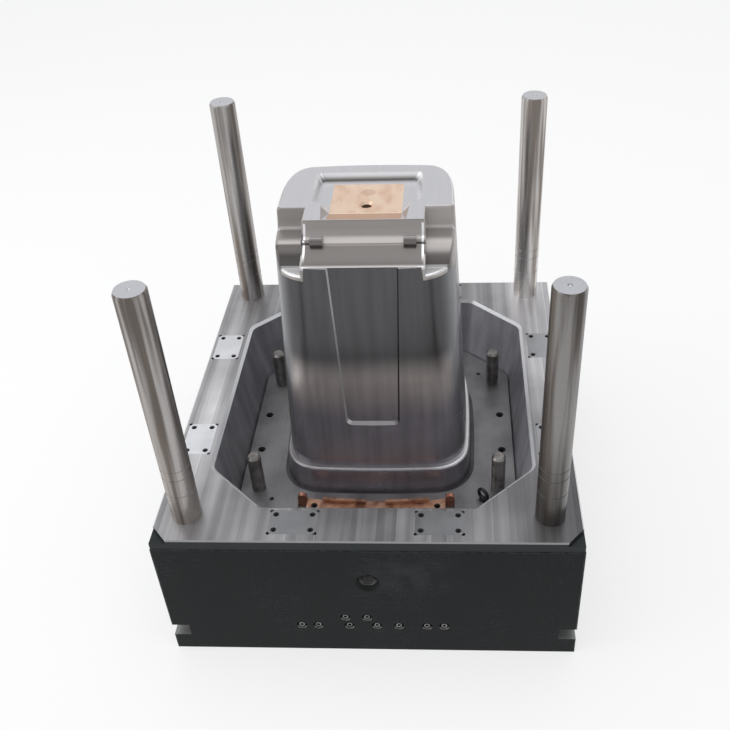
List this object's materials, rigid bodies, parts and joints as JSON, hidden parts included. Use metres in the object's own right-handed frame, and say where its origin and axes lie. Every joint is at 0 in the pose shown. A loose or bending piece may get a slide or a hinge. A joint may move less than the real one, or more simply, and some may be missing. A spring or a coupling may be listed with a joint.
{
  "type": "injection mould core half",
  "caption": "Core half of an injection mould for a wheeled bin, with a tapered core in a pocketed block, guide pillars and a stripper plate that slides up.",
  "frame": {"origin": "middle of the block's underside", "axes": "+Z is the opening direction, up along the core; -Y is the face with the coolant ports; +X is to the right as seen from the ports' side"},
  "size_m": [1, 1.07, 1.0345],
  "materials": {
    "block_steel": "dark oxidised, scratched",
    "core_steel": "polished",
    "stripper_steel": "ground, oiled",
    "pillar_steel": "hardened and ground",
    "wear_steel": "ground",
    "screw_steel": "black oxide",
    "nipple_steel": "satin",
    "copper_insert": "satin copper alloy",
    "copper_handle": "polished copper alloy",
    "bronze": "bronze",
    "seal_rubber": "matt"
  },
  "bodies": {
    "mould_base": {"air_nipple": "nipple_steel", "air_valve_guide": "bronze", "air_valve_springs": "pillar_steel", "coolant_baffles": "bronze", "coolant_nipples": "nipple_steel", "core_body": "core_steel", "core_cap": "core_steel", "core_dowels": "pillar_steel", "core_plate": "block_steel", "core_screws": "screw_steel", "core_top_insert": "copper_insert", "ejector_rod_bushes": "bronze", "frame_front": "block_steel", "frame_left": "block_steel", "frame_rear": "block_steel", "frame_right": "block_steel", "frame_screws": "screw_steel", "guide_pillar_front_left": "pillar_steel", "guide_pillar_front_right": "pillar_steel", "guide_pillar_rear_left": "pillar_steel", "guide_pillar_rear_right": "pillar_steel", "insert_tie_rods": "screw_steel", "pillar_screws": "screw_steel", "seal_rings": "seal_rubber", "stripper_guide_pin_front_left": "pillar_steel", "stripper_guide_pin_front_right": "pillar_steel", "stripper_guide_pin_rear_left": "pillar_steel", "stripper_guide_pin_rear_right": "pillar_steel", "wear_plate_front_left": "wear_steel", "wear_plate_front_right": "wear_steel", "wear_plate_left_front": "wear_steel", "wear_plate_left_rear": "wear_steel", "wear_plate_rear_left": "wear_steel", "wear_plate_rear_right": "wear_steel", "wear_plate_right_front": "wear_steel", "wear_plate_right_rear": "wear_steel", "wear_plate_screws": "screw_steel"},
    "stripper": {"stripper_plate": "stripper_steel", "stripper_ring": "core_steel", "stripper_ring_screws": "screw_steel", "stripper_pin_bushes": "bronze", "handle_insert": "copper_handle", "handle_insert_screws": "screw_steel", "lifting_eye": "screw_steel", "ejector_rod_screws": "screw_steel", "ejector_rod_front_left": "pillar_steel", "ejector_rod_front_right": "pillar_steel", "ejector_rod_rear_left": "pillar_steel", "ejector_rod_rear_right": "pillar_steel"},
    "air_valve": {"air_valve": "core_steel", "air_valve_nut": "screw_steel"}
  },
  "joints": [
    {"name": "stripper_slide", "type": "slide", "parent": "mould_base", "child": "stripper", "axis": [0, 0, 1], "range_m": [0, 0.085]},
    {"name": "air_valve_slide", "type": "slide", "parent": "mould_base", "child": "air_valve", "axis": [0, 0, 1], "range_m": [0, 0.006], "stiffness_N_per_m": 8000, "springref_m": -0.004, "deforming": ["air_valve_springs"]}
  ]
}
